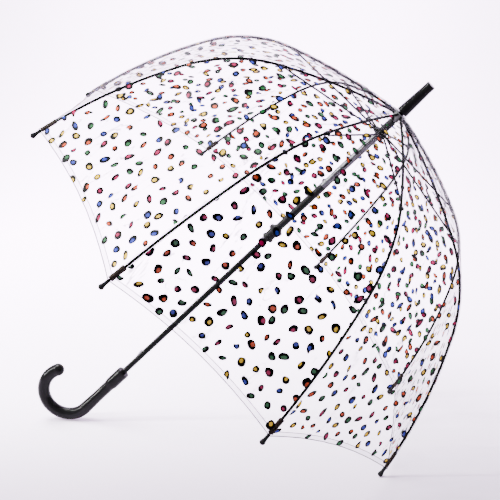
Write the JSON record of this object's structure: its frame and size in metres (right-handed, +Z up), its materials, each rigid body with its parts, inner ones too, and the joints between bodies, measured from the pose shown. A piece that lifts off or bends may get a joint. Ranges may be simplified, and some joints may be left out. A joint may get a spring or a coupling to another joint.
{
  "type": "umbrella",
  "caption": "Open clear bubble umbrella with dome canopy, printed spots, black shaft, sliding runner and crook handle.",
  "frame": {"origin": "on the ground, at the centre of the box round the umbrella, which lies open on two rib tips and its crook", "axes": "+Z up; +X horizontal, the way the ferrule end of the shaft points; +Y across, along the line of a rail that the crook hangs on"},
  "size_m": [0.7493, 0.788, 0.6786],
  "materials": {
    "clear_film": "clear glossy film with printed spots",
    "black_metal": "satin black",
    "rib_black": "satin black",
    "black_plastic": "satin",
    "runner_black": "semi gloss",
    "handle_black": "gloss",
    "tip_black": "semi gloss",
    "pale_plastic": "translucent",
    "grey_tube": "satin",
    "bright_wire": "bright"
  },
  "bodies": {
    "shaft": {"shaft": "black_metal", "ferrule": "black_plastic", "crown_washer": "pale_plastic", "top_notch": "black_plastic", "notch_wire": "bright_wire", "handle": "handle_black", "canopy": "clear_film"},
    "runner": {"runner_crown": "black_plastic", "runner_tube": "grey_tube", "runner_sleeve": "runner_black"},
    "open_catch": {"open_catch": "bright_wire"},
    "closed_catch": {"closed_catch": "bright_wire"},
    "rib_upper_1": {"rib_upper_1": "rib_black", "rib_clip_1": "black_plastic"},
    "rib_mid_1": {"rib_mid_1": "rib_black"},
    "rib_lower_1": {"rib_lower_1": "rib_black", "tip_cap_1": "tip_black"},
    "stretcher_1": {"stretcher_1": "rib_black"},
    "rib_upper_2": {"rib_upper_2": "rib_black", "rib_clip_2": "black_plastic"},
    "rib_mid_2": {"rib_mid_2": "rib_black"},
    "rib_lower_2": {"rib_lower_2": "rib_black", "tip_cap_2": "tip_black"},
    "stretcher_2": {"stretcher_2": "rib_black"},
    "rib_upper_3": {"rib_upper_3": "rib_black", "rib_clip_3": "black_plastic"},
    "rib_mid_3": {"rib_mid_3": "rib_black"},
    "rib_lower_3": {"rib_lower_3": "rib_black", "tip_cap_3": "tip_black"},
    "stretcher_3": {"stretcher_3": "rib_black"},
    "rib_upper_4": {"rib_upper_4": "rib_black", "rib_clip_4": "black_plastic"},
    "rib_mid_4": {"rib_mid_4": "rib_black"},
    "rib_lower_4": {"rib_lower_4": "rib_black", "tip_cap_4": "tip_black"},
    "stretcher_4": {"stretcher_4": "rib_black"},
    "rib_upper_5": {"rib_upper_5": "rib_black", "rib_clip_5": "black_plastic"},
    "rib_mid_5": {"rib_mid_5": "rib_black"},
    "rib_lower_5": {"rib_lower_5": "rib_black", "tip_cap_5": "tip_black"},
    "stretcher_5": {"stretcher_5": "rib_black"},
    "rib_upper_6": {"rib_upper_6": "rib_black", "rib_clip_6": "black_plastic"},
    "rib_mid_6": {"rib_mid_6": "rib_black"},
    "rib_lower_6": {"rib_lower_6": "rib_black", "tip_cap_6": "tip_black"},
    "stretcher_6": {"stretcher_6": "rib_black"},
    "rib_upper_7": {"rib_upper_7": "rib_black", "rib_clip_7": "black_plastic"},
    "rib_mid_7": {"rib_mid_7": "rib_black"},
    "rib_lower_7": {"rib_lower_7": "rib_black", "tip_cap_7": "tip_black"},
    "stretcher_7": {"stretcher_7": "rib_black"},
    "rib_upper_8": {"rib_upper_8": "rib_black", "rib_clip_8": "black_plastic"},
    "rib_mid_8": {"rib_mid_8": "rib_black"},
    "rib_lower_8": {"rib_lower_8": "rib_black", "tip_cap_8": "tip_black"},
    "stretcher_8": {"stretcher_8": "rib_black"}
  },
  "joints": [
    {"name": "runner_slide", "type": "slide", "parent": "shaft", "child": "runner", "axis": [-0.7175, 0, -0.6966], "range_m": [0, 0.36325], "deforming": ["canopy", "open_catch", "closed_catch"]},
    {"name": "rib_hinge_1", "type": "hinge", "parent": "shaft", "child": "rib_upper_1", "pos_m": [0.27365, 0.00306, 0.55938], "axis": [-0.2666, 0.9239, 0.2746], "range_deg": [0, 70.52]},
    {"name": "upper_flex_1", "type": "hinge", "parent": "rib_upper_1", "child": "rib_mid_1", "pos_m": [0.35906, 0.08138, 0.37878], "axis": [-0.2666, 0.9239, 0.2746], "range_deg": [-22.21, 0]},
    {"name": "lower_flex_1", "type": "hinge", "parent": "rib_mid_1", "child": "rib_lower_1", "pos_m": [0.36006, 0.12481, 0.23361], "axis": [-0.2666, 0.9239, 0.2746], "range_deg": [-26.03, 0]},
    {"name": "stretcher_hinge_1", "type": "hinge", "parent": "runner", "child": "stretcher_1", "pos_m": [0.24422, 0.00314, 0.53055], "axis": [-0.2666, 0.9239, 0.2746], "range_deg": [-93.58, 0]},
    {"name": "rib_hinge_2", "type": "hinge", "parent": "shaft", "child": "rib_upper_2", "pos_m": [0.27063, 0.00739, 0.56249], "axis": [-0.6436, 0.3827, 0.6629], "range_deg": [0, 70.52]},
    {"name": "upper_flex_2", "type": "hinge", "parent": "rib_upper_2", "child": "rib_mid_2", "pos_m": [0.27889, 0.19646, 0.46135], "axis": [-0.6436, 0.3827, 0.6629], "range_deg": [-22.21, 0]},
    {"name": "lower_flex_2", "type": "hinge", "parent": "rib_mid_2", "child": "rib_lower_2", "pos_m": [0.23711, 0.30132, 0.36024], "axis": [-0.6436, 0.3827, 0.6629], "range_deg": [-26.03, 0]},
    {"name": "stretcher_hinge_2", "type": "hinge", "parent": "runner", "child": "stretcher_2", "pos_m": [0.24113, 0.00758, 0.53373], "axis": [-0.6436, 0.3827, 0.6629], "range_deg": [-93.58, 0]},
    {"name": "rib_hinge_3", "type": "hinge", "parent": "shaft", "child": "rib_upper_3", "pos_m": [0.26637, 0.00739, 0.56688], "axis": [-0.6436, -0.3827, 0.6629], "range_deg": [0, 70.52]},
    {"name": "upper_flex_3", "type": "hinge", "parent": "rib_upper_3", "child": "rib_mid_3", "pos_m": [0.16552, 0.19646, 0.57812], "axis": [-0.6436, -0.3827, 0.6629], "range_deg": [-22.21, 0]},
    {"name": "lower_flex_3", "type": "hinge", "parent": "rib_mid_3", "child": "rib_lower_3", "pos_m": [0.06322, 0.30132, 0.53934], "axis": [-0.6436, -0.3827, 0.6629], "range_deg": [-26.03, 0]},
    {"name": "stretcher_hinge_3", "type": "hinge", "parent": "runner", "child": "stretcher_3", "pos_m": [0.23675, 0.00758, 0.53824], "axis": [-0.6436, -0.3827, 0.6629], "range_deg": [-93.58, 0]},
    {"name": "rib_hinge_4", "type": "hinge", "parent": "shaft", "child": "rib_upper_4", "pos_m": [0.26335, 0.00306, 0.56999], "axis": [-0.2666, -0.9239, 0.2746], "range_deg": [0, 70.52]},
    {"name": "upper_flex_4", "type": "hinge", "parent": "rib_upper_4", "child": "rib_mid_4", "pos_m": [0.08535, 0.08138, 0.66069], "axis": [-0.2666, -0.9239, 0.2746], "range_deg": [-22.21, 0]},
    {"name": "lower_flex_4", "type": "hinge", "parent": "rib_mid_4", "child": "rib_lower_4", "pos_m": [-0.05973, 0.12481, 0.66597], "axis": [-0.2666, -0.9239, 0.2746], "range_deg": [-26.03, 0]},
    {"name": "stretcher_hinge_4", "type": "hinge", "parent": "runner", "child": "stretcher_4", "pos_m": [0.23366, 0.00314, 0.54142], "axis": [-0.2666, -0.9239, 0.2746], "range_deg": [-93.58, 0]},
    {"name": "rib_hinge_5", "type": "hinge", "parent": "shaft", "child": "rib_upper_5", "pos_m": [0.26335, -0.00306, 0.56999], "axis": [0.2666, -0.9239, -0.2746], "range_deg": [0, 70.52]},
    {"name": "upper_flex_5", "type": "hinge", "parent": "rib_upper_5", "child": "rib_mid_5", "pos_m": [0.08535, -0.08138, 0.66069], "axis": [0.2666, -0.9239, -0.2746], "range_deg": [-22.21, 0]},
    {"name": "lower_flex_5", "type": "hinge", "parent": "rib_mid_5", "child": "rib_lower_5", "pos_m": [-0.05973, -0.12481, 0.66597], "axis": [0.2666, -0.9239, -0.2746], "range_deg": [-26.03, 0]},
    {"name": "stretcher_hinge_5", "type": "hinge", "parent": "runner", "child": "stretcher_5", "pos_m": [0.23366, -0.00314, 0.54142], "axis": [0.2666, -0.9239, -0.2746], "range_deg": [-93.58, 0]},
    {"name": "rib_hinge_6", "type": "hinge", "parent": "shaft", "child": "rib_upper_6", "pos_m": [0.26637, -0.00739, 0.56688], "axis": [0.6436, -0.3827, -0.6629], "range_deg": [0, 70.52]},
    {"name": "upper_flex_6", "type": "hinge", "parent": "rib_upper_6", "child": "rib_mid_6", "pos_m": [0.16552, -0.19646, 0.57812], "axis": [0.6436, -0.3827, -0.6629], "range_deg": [-22.21, 0]},
    {"name": "lower_flex_6", "type": "hinge", "parent": "rib_mid_6", "child": "rib_lower_6", "pos_m": [0.06322, -0.30132, 0.53934], "axis": [0.6436, -0.3827, -0.6629], "range_deg": [-26.03, 0]},
    {"name": "stretcher_hinge_6", "type": "hinge", "parent": "runner", "child": "stretcher_6", "pos_m": [0.23675, -0.00758, 0.53824], "axis": [0.6436, -0.3827, -0.6629], "range_deg": [-93.58, 0]},
    {"name": "rib_hinge_7", "type": "hinge", "parent": "shaft", "child": "rib_upper_7", "pos_m": [0.27063, -0.00739, 0.56249], "axis": [0.6436, 0.3827, -0.6629], "range_deg": [0, 70.52]},
    {"name": "upper_flex_7", "type": "hinge", "parent": "rib_upper_7", "child": "rib_mid_7", "pos_m": [0.27889, -0.19646, 0.46135], "axis": [0.6436, 0.3827, -0.6629], "range_deg": [-22.21, 0]},
    {"name": "lower_flex_7", "type": "hinge", "parent": "rib_mid_7", "child": "rib_lower_7", "pos_m": [0.23711, -0.30132, 0.36024], "axis": [0.6436, 0.3827, -0.6629], "range_deg": [-26.03, 0]},
    {"name": "stretcher_hinge_7", "type": "hinge", "parent": "runner", "child": "stretcher_7", "pos_m": [0.24113, -0.00758, 0.53373], "axis": [0.6436, 0.3827, -0.6629], "range_deg": [-93.58, 0]},
    {"name": "rib_hinge_8", "type": "hinge", "parent": "shaft", "child": "rib_upper_8", "pos_m": [0.27365, -0.00306, 0.55938], "axis": [0.2666, 0.9239, -0.2746], "range_deg": [0, 70.52]},
    {"name": "upper_flex_8", "type": "hinge", "parent": "rib_upper_8", "child": "rib_mid_8", "pos_m": [0.35906, -0.08138, 0.37878], "axis": [0.2666, 0.9239, -0.2746], "range_deg": [-22.21, 0]},
    {"name": "lower_flex_8", "type": "hinge", "parent": "rib_mid_8", "child": "rib_lower_8", "pos_m": [0.36006, -0.12481, 0.23361], "axis": [0.2666, 0.9239, -0.2746], "range_deg": [-26.03, 0]},
    {"name": "stretcher_hinge_8", "type": "hinge", "parent": "runner", "child": "stretcher_8", "pos_m": [0.24422, -0.00314, 0.53055], "axis": [0.2666, 0.9239, -0.2746], "range_deg": [-93.58, 0]},
    {"name": "open_catch_press", "type": "slide", "parent": "shaft", "child": "open_catch", "axis": [0.6966, 0, -0.7175], "range_m": [0, 0.0024], "stiffness_N_per_m": 1500, "springref_m": -0.0008},
    {"name": "closed_catch_press", "type": "slide", "parent": "shaft", "child": "closed_catch", "axis": [0.6966, 0, -0.7175], "range_m": [0, 0.0024], "stiffness_N_per_m": 1500, "springref_m": -0.0008}
  ],
  "couplings": [
    {"joint": "rib_hinge_1", "follows": "runner_slide", "rad_per_m": 3.3872},
    {"joint": "upper_flex_1", "follows": "runner_slide", "rad_per_m": -1.066},
    {"joint": "lower_flex_1", "follows": "runner_slide", "rad_per_m": -1.2497},
    {"joint": "stretcher_hinge_1", "follows": "runner_slide", "rad_per_m": -4.4954},
    {"joint": "rib_hinge_2", "follows": "runner_slide", "rad_per_m": 3.3872},
    {"joint": "upper_flex_2", "follows": "runner_slide", "rad_per_m": -1.066},
    {"joint": "lower_flex_2", "follows": "runner_slide", "rad_per_m": -1.2497},
    {"joint": "stretcher_hinge_2", "follows": "runner_slide", "rad_per_m": -4.4954},
    {"joint": "rib_hinge_3", "follows": "runner_slide", "rad_per_m": 3.3872},
    {"joint": "upper_flex_3", "follows": "runner_slide", "rad_per_m": -1.066},
    {"joint": "lower_flex_3", "follows": "runner_slide", "rad_per_m": -1.2497},
    {"joint": "stretcher_hinge_3", "follows": "runner_slide", "rad_per_m": -4.4954},
    {"joint": "rib_hinge_4", "follows": "runner_slide", "rad_per_m": 3.3872},
    {"joint": "upper_flex_4", "follows": "runner_slide", "rad_per_m": -1.066},
    {"joint": "lower_flex_4", "follows": "runner_slide", "rad_per_m": -1.2497},
    {"joint": "stretcher_hinge_4", "follows": "runner_slide", "rad_per_m": -4.4954},
    {"joint": "rib_hinge_5", "follows": "runner_slide", "rad_per_m": 3.3872},
    {"joint": "upper_flex_5", "follows": "runner_slide", "rad_per_m": -1.066},
    {"joint": "lower_flex_5", "follows": "runner_slide", "rad_per_m": -1.2497},
    {"joint": "stretcher_hinge_5", "follows": "runner_slide", "rad_per_m": -4.4954},
    {"joint": "rib_hinge_6", "follows": "runner_slide", "rad_per_m": 3.3872},
    {"joint": "upper_flex_6", "follows": "runner_slide", "rad_per_m": -1.066},
    {"joint": "lower_flex_6", "follows": "runner_slide", "rad_per_m": -1.2497},
    {"joint": "stretcher_hinge_6", "follows": "runner_slide", "rad_per_m": -4.4954},
    {"joint": "rib_hinge_7", "follows": "runner_slide", "rad_per_m": 3.3872},
    {"joint": "upper_flex_7", "follows": "runner_slide", "rad_per_m": -1.066},
    {"joint": "lower_flex_7", "follows": "runner_slide", "rad_per_m": -1.2497},
    {"joint": "stretcher_hinge_7", "follows": "runner_slide", "rad_per_m": -4.4954},
    {"joint": "rib_hinge_8", "follows": "runner_slide", "rad_per_m": 3.3872},
    {"joint": "upper_flex_8", "follows": "runner_slide", "rad_per_m": -1.066},
    {"joint": "lower_flex_8", "follows": "runner_slide", "rad_per_m": -1.2497},
    {"joint": "stretcher_hinge_8", "follows": "runner_slide", "rad_per_m": -4.4954}
  ]
}
